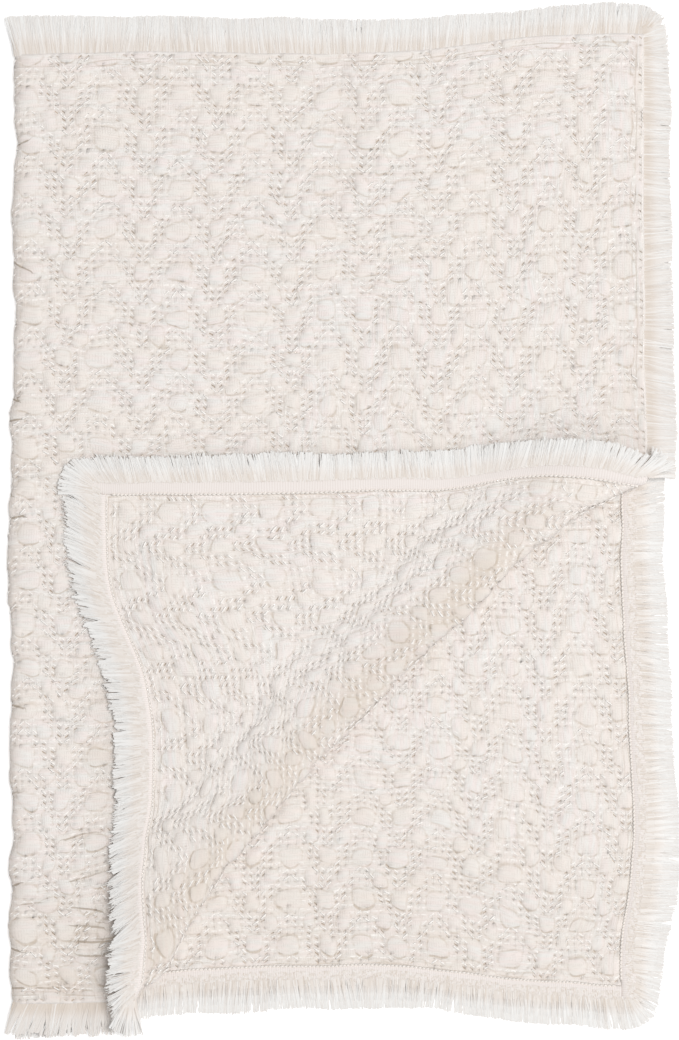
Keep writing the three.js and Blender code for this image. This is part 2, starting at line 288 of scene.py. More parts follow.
# How far vertices stray, how much painted shade troughs and folds get, how pinches run, and cells
# along a hidden block
CORNER_STRAY = 0.18
TROUGH_SHADE = 0.35
MOST_SHADE = 1.8
WIDEST_PINCH = 3.5
PINCH_WAVER = 0.2
PINCH_REACH = 3.0
NO_PINCH = 8.0
BLOCK = 4

uneven = np.random.default_rng(11)


def weave_lines(length):
    """Grid lines across the sheet, one on each side of every row of gaps."""
    middles = np.arange(round(length / CELL)) * CELL + CELL / 2
    sides = np.sort(np.concatenate([middles - GAP / 2, middles + GAP / 2]))
    return np.concatenate([[0.0], sides, [length]])


def trough_depth(u, v):
    """Depth of the soft troughs at places on the sheet."""
    depth = np.zeros(u.shape)
    for _, u0, v0, u1, v1, half_width, deepest in TROUGHS:
        run_u, run_v = u1 - u0, v1 - v0
        part = np.clip(((u - u0) * run_u + (v - v0) * run_v) / (run_u**2 + run_v**2), 0, 1)
        away = np.hypot(u - u0 - part * run_u, v - v0 - part * run_v)
        fade = 1 - ease_in(part, 0.55, 1.0)
        depth = np.maximum(depth, deepest * fade * np.exp(-((away / half_width) ** 2)))
    return depth


def pinch_lines(u, v):
    """Signed distance to the nearest trough's middle line, and how near and deep that trough is."""
    nearest = np.full(u.shape, NO_PINCH)
    depth = np.zeros(u.shape)
    for _, u0, v0, u1, v1, half_width, deepest in TROUGHS:
        if half_width > WIDEST_PINCH:
            continue
        run_u, run_v = u1 - u0, v1 - v0
        length = math.hypot(run_u, run_v)
        part = ((u - u0) * run_u + (v - v0) * run_v) / length**2
        aside = ((v - v0) * run_u - (u - u0) * run_v) / length + PINCH_WAVER * soft_noise(u, v, 7, 71)
        past = length * np.maximum(np.maximum(-part, part - 1), 0)
        away = np.abs(aside) + past
        closer = away < np.abs(nearest)
        nearest = np.where(closer, np.where(aside < 0, -away, away), nearest)
        depth = np.where(closer, deepest * np.exp(-((away / PINCH_REACH) ** 2)), depth)
    return nearest, depth


# Patches of painted shade, tan: shadow at the strip's end and beside and above the turned corner's
# fringe, darker along the right edge, and shade along the under layer's bottom; whether on the outer
# face, sheet place, how far round it, and how tan
SHADE_PATCHES = [
    ("strip's end", True, 458, 5, 45, 75, 1.0),
    ("strip beside the fringe", True, 487, 130, 12, 150, 0.8),
    ("above the turned corner", True, 650, 372, 210, 7, 0.8),
    ("right edge", True, 848, 420, 14, 110, 0.6),
    ("under layer, bottom", False, 160, 40, 170, 65, 0.6),
]

# The turned corner's roll is painted tan, as painted shade where it turns away from the light, up to its
# upper end, and the slope behind it painted paler, as painted light: how much, and the distances past
# the fold line at which they are and over which they fade
ROLL_SHADE = 1.75
ROLL_MIDDLE = 19.0
ROLL_REACH = 17.0
SLOPE_LIGHT = 0.85
SLOPE_MIDDLE = 70.0
SLOPE_REACH = 26.0
ROLL_ENDS = (265.0, 325.0)


def painted_shading_at(u, v, outer):
    """How much painted shade the patches and the turned corner's roll get, or, below 0, painted light.
    """
    behind = past_corner_fold(u, v)
    roll = np.exp(-(((behind - ROLL_MIDDLE) / ROLL_REACH) ** 2)) * (1 - ease_in(v, *ROLL_ENDS))
    slope = np.exp(-(((behind - SLOPE_MIDDLE) / SLOPE_REACH) ** 2))
    uneven_shade = 1 + 0.5 * soft_noise(u, v, 12, 62)
    shade = ROLL_SHADE * roll * (0.4 + 0.6 * uneven_shade) - SLOPE_LIGHT * slope
    shade = shade * ((u > over_start) & ~outer)
    for _, on_outer, at_u, at_v, reach_u, reach_v, tan in SHADE_PATCHES:
        near = np.exp(-(((u - at_u) / reach_u) ** 2) - ((v - at_v) / reach_v) ** 2)
        shade = shade + tan * near * uneven_shade * (outer == on_outer)
    return shade


FOLD_SHADE_MIDDLE = 9.0
FOLD_SHADE_REACH = 9.0


def fold_shade(u, v):
    """How much painted shade the crinkled half fold gets where it turns away from the light, in patches.
    """
    near = np.exp(-(((u - HALF_FOLD_START - FOLD_SHADE_MIDDLE) / FOLD_SHADE_REACH) ** 2))
    return near * np.clip(1.15 + 1.2 * soft_noise(u, v, 9, 61), 0, 2.0)


# How far the crinkled weave strays from its even repeat: size of the bumps, seed, columns and rows
WANDER = [(8, 31, 0.35, 0.35), (17, 35, 0.4, 0.5), (40, 33, 0.3, 0.3)]


def weave_wander(u, v):
    """Columns and rows by which the weave strays from its repeat, at places on the sheet."""
    columns, rows = 0.0, 0.0
    for size, seed, most_columns, most_rows in WANDER:
        columns = columns + most_columns * soft_noise(u, v, size, seed)
        rows = rows + most_rows * soft_noise(u, v, size, seed + 1)
    return columns, rows


def puff_share(u, v):
    """Height of the puffs over the open weave, from 0 to about 1.3, each one a little different."""
    stray_columns, stray_rows = weave_wander(u, v)
    column = u / CELL + COLUMN_START + stray_columns
    row = -v / CELL + stray_rows
    own_shapes = np.random.default_rng(21).uniform(-1, 1, (len(PUFFS), 64, 64))
    height = np.zeros(u.shape)
    for kind, (_, at_column, at_row, half_width, half_length) in enumerate(PUFFS):
        n = np.round((column - at_column) / REPEAT_COLUMNS).astype(int)
        m = np.round((row - at_row) / REPEAT_ROWS).astype(int)
        own = own_shapes[kind, n % 64, m % 64]
        across = (column - at_column - REPEAT_COLUMNS * n) / half_width
        along = (row - at_row - REPEAT_ROWS * m) / half_length
        dome = np.clip(1 - np.abs(across) ** 3 - np.abs(along) ** 3, 0, 1) ** 0.8
        height = np.maximum(height, dome * (1 + 0.3 * own))
    return height


# How far the two turns reach, and how near to them each face starts or stops being seen
HALF_TURN_REACH = 11.0
CORNER_TURN = (-19.0, 28.0)
OUTER_FROM_TURN = 5.0
OUTER_TO_ROLL = -4.0
COVERED_FROM = 8.0
UNDER_TO_TURN = 8.0
UNDER_FROM_ROLL = -34.0
TURNED_FROM_ROLL = -14.0


def shows(u, v, outer):
    """Whether a place on the outer or the inner face can be seen."""
    y = BOTTOM_EDGE_Y + v
    across = past_corner_fold(u, v)
    if outer:
        x = over_start_x + u - over_start
        right_edge = over_start_x + CLOTH_WIDTH - over_start
        to_mirror = (COVERED_FROM - 2 * across) * DIAGONAL
        covered = (x + to_mirror < right_edge) & (y - to_mirror > BOTTOM_EDGE_Y)
        return (u > HALF_FOLD_START + OUTER_FROM_TURN) & (across < OUTER_TO_ROLL) & ~covered
    under_x = over_start_x + HALF_FOLD_START - u
    under_across = (under_x - y - CORNER_FOLD_OFFSET) * DIAGONAL
    under_shows = (u < HALF_FOLD_START - UNDER_TO_TURN) & (under_across > UNDER_FROM_ROLL)
    return under_shows | ((u > over_start) & (across > TURNED_FROM_ROLL))


def bends(u, v):
    """Whether a place on the sheet is in one of the two folds."""
    across = past_corner_fold(u, v)
    half_turn = np.abs(u - HALF_FOLD_START - half_turn_run / 2) < HALF_TURN_REACH
    return half_turn | ((u > over_start) & (across > CORNER_TURN[0]) & (across < CORNER_TURN[1]))


def ring_round(i, j, used):
    """Grid corners round a hidden block, without those that no other face uses."""
    i2, j2 = min(i + BLOCK, used.shape[0] - 1), min(j + BLOCK, used.shape[1] - 1)
    ring = [(a, j) for a in range(i, i2)] + [(i2, b) for b in range(j, j2)]
    ring += [(a, j2) for a in range(i2, i, -1)] + [(i, b) for b in range(j2, j, -1)]
    return [corner for corner in ring if used[corner]]


class ClothMesh:
    """The cloth's vertices and faces, with what its material reads at each vertex."""

    def __init__(self):
        self.sheet_u = []
        self.sheet_v = []
        self.heights = []
        self.valleys = []
        self.gaps = []
        self.hems = []
        self.count = 0
        self.faces = []
        self.gap_places = []

    def add_points(self, u, v, height, valley, gap, hem):
        """Adds vertices by their places on the flat sheet and returns their numbers."""
        numbers = self.count + np.arange(len(u))
        self.count += len(u)
        kept_lists = (self.sheet_u, self.sheet_v, self.heights, self.valleys, self.gaps, self.hems)
        for kept, new in zip(kept_lists, (u, v, height, valley, gap, hem)):
            kept.append(np.broadcast_to(new, u.shape))
        return numbers


def slant_of(column):
    """How steeply the weave climbs by its column in the repeat: down to the zigzag's point, then up."""
    return np.where(column % REPEAT_COLUMNS < REPEAT_COLUMNS / 2, -GAP_SLANT, GAP_SLANT)


def gaps_of_face(columns, rows):
    """How open each gap of one face is, by its column and row on the sheet."""
    u, v = np.meshgrid((np.arange(columns) + 0.5) * CELL, (np.arange(rows) + 0.5) * CELL, indexing="ij")
    stray_columns, stray_rows = weave_wander(u, v)
    column = np.floor(u / CELL + COLUMN_START + stray_columns).astype(int)
    row = np.floor(-v / CELL + stray_rows).astype(int)
    charted = WEAVE[row % REPEAT_ROWS, column % REPEAT_COLUMNS]
    return charted * uneven.uniform(0.6, 1.2, (columns, rows))


def shape_gaps(u, v, openness):
    """Moves each gap's corners in or out by how open it is, and slants it, on whole grids of lines."""
    columns, rows = openness.shape
    k = np.clip((np.arange(u.shape[0]) - 1) // 2, 0, columns - 1)[:, None]
    l = np.clip((np.arange(u.shape[1]) - 1) // 2, 0, rows - 1)[None, :]
    middle_u, middle_v = (k + 0.5) * CELL, (l + 0.5) * CELL
    own = openness[k, l]
    is_gap = own > LEAST_GAP
    size = np.where(is_gap, GAP_SMALLEST + GAP_GROWTH * own, 1)
    slant = np.where(is_gap, slant_of(k + COLUMN_START), 0)
    off_u = (u - middle_u) * size * np.where(is_gap, GAP_LONGER, 1)
    off_v = (v - middle_v) * size * np.where(is_gap, GAP_LOWER, 1)
    new_u, new_v = middle_u + off_u, middle_v + off_v + off_u * slant
    on_edge = edge_distance(u, v) < 0.1
    return np.where(on_edge, u, new_u), np.where(on_edge, v, new_v), own


def face_heights(u, v, woven, hem):
    """Height of a face over the middle surface, its puffs, and how much of it is smooth, sewn hem."""
    edge = edge_distance(u, v)
    inside_hem = ease_in(edge, hem + HEM_BLEND[0], hem + HEM_BLEND[1]) * woven
    puff = puff_share(u, v) * inside_hem
    rim = RIM_HEIGHT + (FACE_HEIGHT - RIM_HEIGHT) * ease_in(edge, *RIM_CURVE)
    ridge = HEM_RIDGE * np.exp(-(((edge - RIDGE_FROM_EDGE) / RIDGE_WIDTH) ** 2))
    groove = SEAM_GROOVE * np.exp(-(((edge - SEAM_FROM_EDGE) / SEAM_WIDTH) ** 2))
    loose = FACE_STRAY * uneven.normal(0, 1, u.shape) * inside_hem
    height = rim + ridge - groove + PUFF_HEIGHT * puff + loose - trough_depth(u, v) * woven
    return height, puff, 1 - ease_in(edge, hem - 0.5, hem + 0.5)


def split_blocks(dense):
    """Splits a face into fine cells and hidden blocks, with its woven corners and all used ones."""
    across, along = dense.shape
    fine = np.zeros(dense.shape, bool)
    woven = np.zeros((across + 1, along + 1), bool)
    hidden_blocks = []
    for i in range(0, across, BLOCK):
        for j in range(0, along, BLOCK):
            if dense[i:i + BLOCK, j:j + BLOCK].any():
                fine[i:i + BLOCK, j:j + BLOCK] = True
                woven[i:i + BLOCK + 1, j:j + BLOCK + 1] = True
            else:
                hidden_blocks.append((i, j))
    used = woven.copy()
    for i, j in hidden_blocks:
        i2, j2 = min(i + BLOCK, across), min(j + BLOCK, along)
        used[[i, i2, i, i2], [j, j, j2, j2]] = True
    used[[0, -1], :] = True
    used[:, [0, -1]] = True
    return fine, hidden_blocks, woven, used


def corners_of(number, i, j):
    """Numbers of the four vertices round a cell."""
    return [number[i, j], number[i + 1, j], number[i + 1, j + 1], number[i, j + 1]]


def add_pits(cloth, is_pit, openness, number, rim_heights, shaped_u, shaped_v, side):
    """Sinks a floor and four walls into each open gap, notes where it is, and returns the new faces."""
    pit_i, pit_j = np.nonzero(is_pit)
    gap = openness[pit_i // 2, pit_j // 2]
    rim_height = (rim_heights[pit_i, pit_j] + rim_heights[pit_i + 1, pit_j + 1]) / 2
    floor = []
    for di, dj in ((0, 0), (1, 0), (1, 1), (0, 1)):
        floor_u = shaped_u[pit_i + di, pit_j + dj] + PIT_INSET * (1 - 2 * di)
        floor_v = shaped_v[pit_i + di, pit_j + dj] + PIT_INSET * (1 - 2 * dj)
        floor_height = side * (rim_height - PIT_DEPTH * gap)
        # Pit floors get full painted valley shade and their gap's painted shade
        floor.append(cloth.add_points(floor_u, floor_v, floor_height, 1, gap, 0))
    faces = []
    for k, (i, j) in enumerate(zip(pit_i, pit_j)):
        rim = corners_of(number, i, j)
        bottom = [corner[k] for corner in floor]
        faces.append(bottom)
        for a in range(4):
            b = (a + 1) % 4
            faces.append([rim[a], rim[b], bottom[b], bottom[a]])
    column, row = pit_i // 2, pit_j // 2
    cloth.gap_places.append(np.stack([
        (column + 0.5) * CELL, (row + 0.5) * CELL, rim_height, np.full(len(gap), side), gap,
        column + COLUMN_START,
    ]))
    return faces


def add_cloth_face(cloth, u_lines, v_lines, outer):
    """Adds one face of the cloth: its weave where it shows, and large plain faces where it is hidden."""
    cell_u, cell_v = np.meshgrid(
        (u_lines[:-1] + u_lines[1:]) / 2, (v_lines[:-1] + v_lines[1:]) / 2, indexing="ij")
    seen = shows(cell_u, cell_v, outer)
    fine, hidden_blocks, woven, used = split_blocks(seen | bends(cell_u, cell_v))
    side, hem_width = (1, OUTER_HEM) if outer else (-1, INNER_HEM)

    openness = gaps_of_face((fine.shape[0] - 1) // 2, (fine.shape[1] - 1) // 2)
    grid_u, grid_v = np.meshgrid(u_lines, v_lines, indexing="ij")
    shaped_u, shaped_v, near_gap = shape_gaps(grid_u, grid_v, openness)
    is_woven = woven[used]
    u = np.where(is_woven, shaped_u[used], grid_u[used])
    v = np.where(is_woven, shaped_v[used], grid_v[used])
    height, puff, hem = face_heights(u, v, is_woven, hem_width)
    valley = near_gap[used] * (1 - np.clip(puff, 0, 1)) * (1 - hem) * is_woven
    height = height - VALLEY * valley
    # Painted shade, kept as each vertex's valley: by the gaps, in the troughs and on the half fold
    shade = np.clip(valley + TROUGH_SHADE * trough_depth(u, v) + fold_shade(u, v), 0, MOST_SHADE)
    if outer:
        on_floor = u < HALF_FOLD_START + FLOOR_FACE_END
        height = np.where(on_floor, np.minimum(height, CLOTH_THICKNESS / 2), height)
    loose = (edge_distance(u, v) > 0.1) & is_woven
    u = u + loose * uneven.normal(0, CORNER_STRAY, u.shape)
    v = v + loose * uneven.normal(0, CORNER_STRAY, v.shape)
    number = np.full(used.shape, -1)
    number[used] = cloth.add_points(u, v, side * height, shade, 0, hem)
    rim_heights = np.zeros(used.shape)
    rim_heights[used] = height

    is_pit = np.zeros(fine.shape, bool)
    is_pit[1:-1:2, 1:-1:2] = openness > LEAST_GAP
    is_pit &= fine & seen & (edge_distance(cell_u, cell_v) > hem_width)
    new_faces = [corners_of(number, i, j) for i, j in np.argwhere(fine & ~is_pit)]
    new_faces += add_pits(cloth, is_pit, openness, number, rim_heights, shaped_u, shaped_v, side)
    new_faces += [[number[corner] for corner in ring_round(i, j, used)] for i, j in hidden_blocks]
    cloth.faces += new_faces if outer else [face[::-1] for face in new_faces]
    return number


def join_rim(cloth, outer, inner):
    """Joins the two faces of the cloth round its edge."""
    loop = [(i, 0) for i in range(outer.shape[0] - 1)]
    loop += [(outer.shape[0] - 1, j) for j in range(outer.shape[1] - 1)]
    loop += [(i, outer.shape[1] - 1) for i in range(outer.shape[0] - 1, 0, -1)]
    loop += [(0, j) for j in range(outer.shape[1] - 1, 0, -1)]
    for here, after in zip(loop, loop[1:] + loop[:1]):
        cloth.faces.append([outer[here], inner[here], inner[after], outer[after]])


def mesh_object(name, points, faces):
    """A smooth mesh object at the origin, from places in millimetres."""
    mesh = bpy.data.meshes.new(name)
    mesh.from_pydata(np.asarray(points) * MM, [], faces)
    mesh.shade_smooth()
    made = bpy.data.objects.new(name, mesh)
    bpy.context.collection.objects.link(made)
    return made


def add_bake_map(piece, across, along):
    """Lays the piece's vertices out on a flat map, each with its own place, from 0 to 1 both ways."""
    places = np.stack([across, along], axis=-1).astype(np.float32)
    corners = np.zeros(len(piece.data.loops), dtype=np.int32)
    piece.data.loops.foreach_get("vertex_index", corners)
    piece.data.uv_layers.new(name="OFBake").data.foreach_set("uv", places[corners].ravel())


def sheet_map(u, v, side):
    """Places of the cloth's two faces on its map, the outer one in the lower half."""
    along = np.clip(v / CLOTH_LENGTH, 0, 1) * 0.49 + np.where(side > 0, 0, 0.5)
    return np.clip(u / CLOTH_WIDTH, 0, 1), along


def add_attribute(piece, name, values):
    """Stores a number or a vector for each vertex, for the piece's material to read."""
    values = np.asarray(values, dtype=np.float32)
    kind, key = ("FLOAT", "value") if values.ndim == 1 else ("FLOAT_VECTOR", "vector")
    piece.data.attributes.new(name, kind, "POINT").data.foreach_set(key, values.ravel())


cloth_mesh = ClothMesh()
u_lines, v_lines = weave_lines(CLOTH_WIDTH), weave_lines(CLOTH_LENGTH)
outer_numbers = add_cloth_face(cloth_mesh, u_lines, v_lines, True)
outer_count = cloth_mesh.count
inner_numbers = add_cloth_face(cloth_mesh, u_lines, v_lines, False)
join_rim(cloth_mesh, outer_numbers, inner_numbers)
sheet_u = np.concatenate(cloth_mesh.sheet_u)
sheet_v = np.concatenate(cloth_mesh.sheet_v)
sheet_height = np.concatenate(cloth_mesh.heights)
cloth = mesh_object("cloth_panel", cloth_point(sheet_u, sheet_v, sheet_height), cloth_mesh.faces)
on_outer_face = np.arange(len(sheet_u)) < outer_count
add_bake_map(cloth, *sheet_map(sheet_u, sheet_v, on_outer_face))
# valley holds each vertex's painted shade
add_attribute(cloth, "valley", np.concatenate(cloth_mesh.valleys))
add_attribute(cloth, "gap", np.concatenate(cloth_mesh.gaps))
add_attribute(cloth, "hem", np.concatenate(cloth_mesh.hems))
# Painted shade on patches and the corner's roll, and painted light, below 0, on the slope behind it
add_attribute(cloth, "painted_shading", painted_shading_at(sheet_u, sheet_v, on_outer_face))
add_attribute(cloth, "weave", np.stack(
    [sheet_u / CELL + COLUMN_START, -sheet_v / CELL, edge_distance(sheet_u, sheet_v)], axis=-1))
add_attribute(cloth, "pinch", np.stack([*pinch_lines(sheet_u, sheet_v), 0 * sheet_u], axis=-1))
add_attribute(cloth, "wander", np.stack([*weave_wander(sheet_u, sheet_v), 0 * sheet_u], axis=-1))


class Wire:
    """A socket of a material's nodes, on which Python's arithmetic adds Math nodes."""

    def __init__(self, tree, socket=None):
        self.tree = tree
        self.socket = socket

    def node(self, kind, settings, inputs, output=0):
        """Adds a node with its settings and the values or links of its sockets, and gives one output."""
        made = self.tree.nodes.new(kind)
        for name, value in settings.items():
            setattr(made, name, value)
        for name, value in inputs.items():
            if isinstance(value, Wire):
                self.tree.links.new(value.socket, made.inputs[name])
            else:
                made.inputs[name].default_value = value
        return Wire(self.tree, made.outputs[output])

    def math(self, operation, *values):
        return self.node("ShaderNodeMath", {"operation": operation}, dict(enumerate(values)))

    def __add__(self, other):
        return self.math("ADD", self, other)

    def __sub__(self, other):
        return self.math("SUBTRACT", self, other)

    def __mul__(self, other):
        return self.math("MULTIPLY", self, other)

    def __truediv__(self, other):
        return self.math("DIVIDE", self, other)

    def __rsub__(self, other):
        return self.math("SUBTRACT", other, self)

    def __rtruediv__(self, other):
        return self.math("DIVIDE", other, self)

    __radd__ = __add__
    __rmul__ = __mul__

    def step(self, start, end):
        """Smooth step from 0 at start to 1 at end."""
        settings = {"interpolation_type": "SMOOTHSTEP"}
        return self.node("ShaderNodeMapRange", settings, {0: self, 1: start, 2: end, 3: 0.0, 4: 1.0})

    def mix(self, share, colour, other):
        return self.node("ShaderNodeMix", {"data_type": "RGBA"}, {0: share, 6: colour, 7: other}, 2)

    def attribute(self, name, output="Fac"):
        return self.node("ShaderNodeAttribute", {"attribute_name": name}, {}, output)

    def parts(self, vector):
        made = self.node("ShaderNodeSeparateXYZ", {}, {0: vector})
        sockets = made.socket.node.outputs
        return [Wire(self.tree, socket) for socket in sockets]

    def noise(self, vector, scale, detail, output="Fac"):
        settings = {"Vector": vector, "Scale": scale, "Detail": detail}
        return self.node("ShaderNodeTexNoise", {}, settings, output)


def new_material(name):
    """A material with only its output and a Principled shader, and the wire to build on."""
    material = bpy.data.materials.new(name)
    material.use_nodes = True
    tree = material.node_tree
    shader = tree.nodes["Principled BSDF"]
    return material, Wire(tree), shader


def link(wire, shader, socket):
    wire.tree.links.new(wire.socket, shader.inputs[socket])


def set_matt(shader, roughness, sheen):
    """Gives a shader the dull, slightly downy surface of cotton."""
    shader.inputs["Roughness"].default_value = roughness
    shader.inputs["Specular IOR Level"].default_value = 0.2
    shader.inputs["Sheen Weight"].default_value = sheen
    shader.inputs["Sheen Roughness"].default_value = 0.6


CREAM = (0.79, 0.73, 0.67, 1)
BLUSH = (0.80, 0.725, 0.70, 1)
CHALK = (0.77, 0.755, 0.73, 1)
# The yarn's pale colour, also used for painted highlights and painted light
YARN = (0.92, 0.885, 0.85, 1)
HEM_WHITE = (0.80, 0.755, 0.72, 1)
# Tan colours of painted shade: in the pits, in the valleys (also for the fine grain and between
# threads), along creases and lines, on shaded patches, and in pinched creases
PIT_SHADE = (0.51, 0.43, 0.355, 1)
VALLEY_TAN = (0.67, 0.605, 0.555, 1)
CREASE_TAN = (0.54, 0.455, 0.37, 1)
SHADE_TAN = (0.61, 0.525, 0.44, 1)
PINCH_SHADE = (0.40, 0.325, 0.25, 1)
THREADS_A_CELL = 3 * 2 * math.pi
MOST_LINE = 0.75

# Creases that recur by the puffs, painted as lines of shade: column, row of the top, half width, drop
# of the ends, and strength
CREASES = [
    (10.0, 0.95, 1.5, 0.5, 0.7),
    (10.0, 3.65, 1.4, -0.45, 1.0),
    (5.0, 3.45, 1.1, -0.4, 0.9),
    (7.25, 6.4, 0.95, -0.35, 0.7),
]

# Sewn lines inside the hem: distance from the edge, half widths of the core and the blur, and strength
HEM_LINES = [(5.8, 0.15, 0.7, 1.0), (8.8, 0.1, 0.6, 0.7)]

cotton, at, cotton_shader = new_material("crinkle_cotton")
place = at.attribute("weave", "Vector")
column, row, edge = at.parts(place)
gap = at.attribute("gap")
hem = at.attribute("hem")
stray_columns, stray_rows, _ = at.parts(at.attribute("wander", "Vector"))
loose_column = column + stray_columns
loose_row = row + stray_rows
open_weave = 1 - hem


def in_repeat(value, repeat):
    """A distance in columns or rows, brought to the nearest repeat of the weave."""
    return at.math("WRAP", value, repeat / 2, -repeat / 2)


def puff_distance(middle_column, middle_row, half_width, half_length):
    """Distance from a puff's middle to the third power, which is 1 on its squarish outline."""
    across = in_repeat(loose_column - middle_column, REPEAT_COLUMNS) / half_width
    along = in_repeat(loose_row - middle_row, REPEAT_ROWS) / half_length
    across, along = at.math("ABSOLUTE", across), at.math("ABSOLUTE", along)
    return at.math("POWER", across, 3.0) + at.math("POWER", along, 3.0)


def crease_line(middle, top, half_width, drop):
    """A thin arc in the repeat's columns and rows, highest at its middle."""
    off = in_repeat(loose_column - middle, REPEAT_COLUMNS) / half_width
    away = in_repeat(loose_row - top - drop * (off * off), REPEAT_ROWS)
    inside = 1 - (off * off).step(0.7, 1.0)
    return (1 - at.math("ABSOLUTE", away).step(0.05, 0.2)) * inside


# Painted shade along the puffs' outlines, broken up by noise
outline = 0.0
on_puff = 0.0
for _, middle_column, middle_row, half_width, half_length in PUFFS:
    distance = puff_distance(middle_column, middle_row, half_width, half_length)
    outline = outline + distance.step(0.55, 1.0) * (1 - distance.step(1.0, 1.7))
    on_puff = on_puff + (1 - distance.step(0.5, 1.0))
outline = outline * (0.2 + 0.8 * at.noise(place, 0.37, 1.0).step(0.36, 0.62)) * open_weave

# Dashes of painted shade in the open weave, and a painted highlight on the weft between its rows
across_cell = at.math("FRACT", column) - 0.5
along_cell = at.math("FRACT", row) - 0.5
from_dash = across_cell * across_cell * 0.3 + along_cell * along_cell
ground = (1 - on_puff.step(0.0, 0.6)) * open_weave
dashes = (1 - from_dash.step(0.004, 0.024)) * ground * at.noise(place, 0.9, 0.0).step(0.3, 0.6)
between_rows = at.math("ABSOLUTE", along_cell).step(0.26, 0.44) * ground
between_rows = between_rows * (1 - at.math("ABSOLUTE", across_cell).step(0.3, 0.48))
weft_highlight = between_rows * at.noise(place, 1.3, 0.0).step(0.35, 0.65)

# Threads of the plain weave
warp_lines = at.math("SINE", column * THREADS_A_CELL).step(0.2, 1.0)
warp_lines = warp_lines * at.noise(place, 0.6, 0.0).step(0.4, 0.6)
weft_lines = at.math("SINE", row * THREADS_A_CELL).step(0.2, 1.0)
weft_lines = weft_lines * at.noise(place, 0.7, 0.0).step(0.45, 0.6)
between_threads = at.math("MAXIMUM", warp_lines, weft_lines) * open_weave

# Creases, pinches and the hem's sewn lines, as fine dark lines; those of the creases and pinches are
# painted shade
crease = 0.0
for middle, top, half_width, drop, strength in CREASES:
    crease = crease + crease_line(middle, top, half_width, drop) * strength
crease = crease * at.noise(place, 0.21, 2.0).step(0.4, 0.58) * open_weave
from_pinch, pinch_depth, _ = at.parts(at.attribute("pinch", "Vector"))
pinch = (1 - at.math("ABSOLUTE", from_pinch).step(0.2, 0.9)) * pinch_depth
painted_shading = at.attribute("painted_shading")
lines = (crease * 0.4 + outline * 0.28) * (1 + at.math("MAXIMUM", painted_shading, 0.0) * 0.5)
wavy_edge = edge + (at.noise(place, 0.3, 1.0) - 0.5) * 3.5
hem_lines = 0.0
for from_edge, core, blur, strength in HEM_LINES:
    hem_lines = hem_lines + (1 - at.math("ABSOLUTE", wavy_edge - from_edge).step(core, blur)) * strength
hem_lines = hem_lines * at.noise(place, 0.23, 1.0).step(0.38, 0.55)
lines = lines + dashes * 0.2 + hem_lines * 0.45
lines = at.math("MINIMUM", lines, MOST_LINE)

# The cloth's colour, from its pale ground up: how much of each tint goes over what is below it
base = at.mix(at.noise(place, 0.33, 1.0).step(0.3, 0.7), BLUSH, CHALK)
tints = [
    (at.noise(place, 0.07, 1.0).step(0.35, 0.65) * 0.6, CREAM),
    # Painted shade in the valleys by the gaps, the pit floors, the troughs and the half fold
    (at.attribute("valley") * 0.42, VALLEY_TAN),
    # Painted shade, in tan, on the shaded patches and the turned corner's roll
    (painted_shading * (0.24 + ground * 0.06), SHADE_TAN),
    # Painted light, in the yarn's pale colour, on the slope behind the turned corner's roll
    (painted_shading * -0.3, YARN),
    (at.noise(place, 3.0, 2.0).step(0.45, 0.75) * 0.3, VALLEY_TAN),
    (between_threads * 0.3, VALLEY_TAN),
    # Painted highlight on the weft between the rows
    (weft_highlight * 0.6, YARN),
    (hem * 0.7, HEM_WHITE),
    # Painted shade along creases, puff outlines and dashes, and the hem's dark sewn lines
    (lines, CREASE_TAN),
    # Painted shade in the pinched creases
    (at.math("MINIMUM", pinch * 0.8, 0.8), PINCH_SHADE),
    # Painted shade in the pits
    (gap.step(0.1, 1.1), PIT_SHADE),
    # The floats, in the pale yarn colour, brighter than the cloth partly as a painted highlight
    (at.attribute("float"), YARN),
]
for share, colour in tints:
    base = at.mix(share, base, colour)
link(base, cotton_shader, "Base Color")
set_matt(cotton_shader, 0.92, 0.15)

relief = at.noise(place, 2.2, 3.0) * 0.45 + weft_highlight * 0.5
relief = relief - (lines + pinch) * 1.2 - between_threads * 0.3
bump = at.node("ShaderNodeBump", {}, {"Strength": 0.7, "Distance": 0.0005, "Height": relief})
link(bump, cotton_shader, "Normal")
cloth.data.materials.append(cotton)

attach(cloth, "root")
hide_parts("cloth")


# WEAVE FLOATS
# Short, loose stretches of the cloth's own pale weft, which lie over its face between the gaps. They
# slant one way on each arm of the zigzag and so make up its bright, rope-like chains; their colour is
# painted brighter than the cloth's, partly as a painted highlight.
FLOAT_LENGTH = 5.2
FLOAT_HALF_WIDTH = 0.55
FLOAT_RISE = 0.5
FLOAT_LEAST_GAP = 0.38
FLOAT_LEAST_EDGE = 6.0
FLOAT_STRAY = 0.25
FLOAT_SLANT_STRAY = 0.07
FLOAT_SUNK = 0.05

